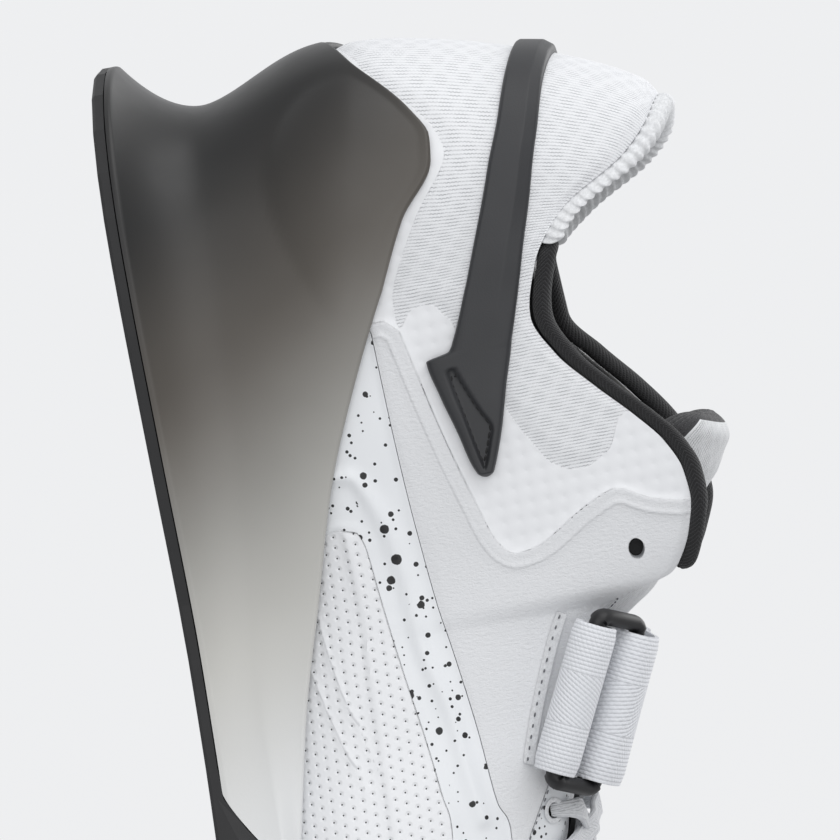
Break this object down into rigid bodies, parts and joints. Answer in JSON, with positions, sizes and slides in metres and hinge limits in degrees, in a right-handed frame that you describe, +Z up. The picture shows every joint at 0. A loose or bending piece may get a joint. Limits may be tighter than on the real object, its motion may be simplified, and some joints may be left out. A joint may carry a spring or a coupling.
{
  "type": "weightlifting shoe",
  "caption": "Left weightlifting shoe with a raised rigid heel, flat rubber sole, hollow upper, padded collar and tongue, a lace and a webbing instep strap through a ring.",
  "frame": {"origin": "centre of the shoe's box, on the floor it stands on", "axes": "+X from heel to toe, -Y towards the inner side of the foot, +Z up"},
  "size_m": [0.298, 0.1098, 0.1288],
  "materials": {
    "black_rubber": "matt black rubber",
    "smoked_plastic": "satin, charcoal at the heel fading to near white",
    "white_textile": "white film and knit",
    "white_mesh": "soft white mesh",
    "black_textile": "black woven edging",
    "grey_insole": "grey cloth over foam",
    "charcoal_plastic": "satin charcoal",
    "white_webbing": "white ribbed webbing",
    "black_plastic": "semi-gloss black"
  },
  "bodies": {
    "root": {"outsole": "black_rubber", "heel_clip": "smoked_plastic", "upper": "white_textile", "insole": "grey_insole", "tongue": "white_mesh", "heel_bar": "charcoal_plastic", "heel_roll": "white_mesh", "collar_binding_inner": "black_textile", "collar_binding_outer": "black_textile", "strap": "white_webbing", "strap_ring": "black_plastic", "strap_anchor": "white_webbing", "lace": "white_webbing"}
  },
  "joints": []
}
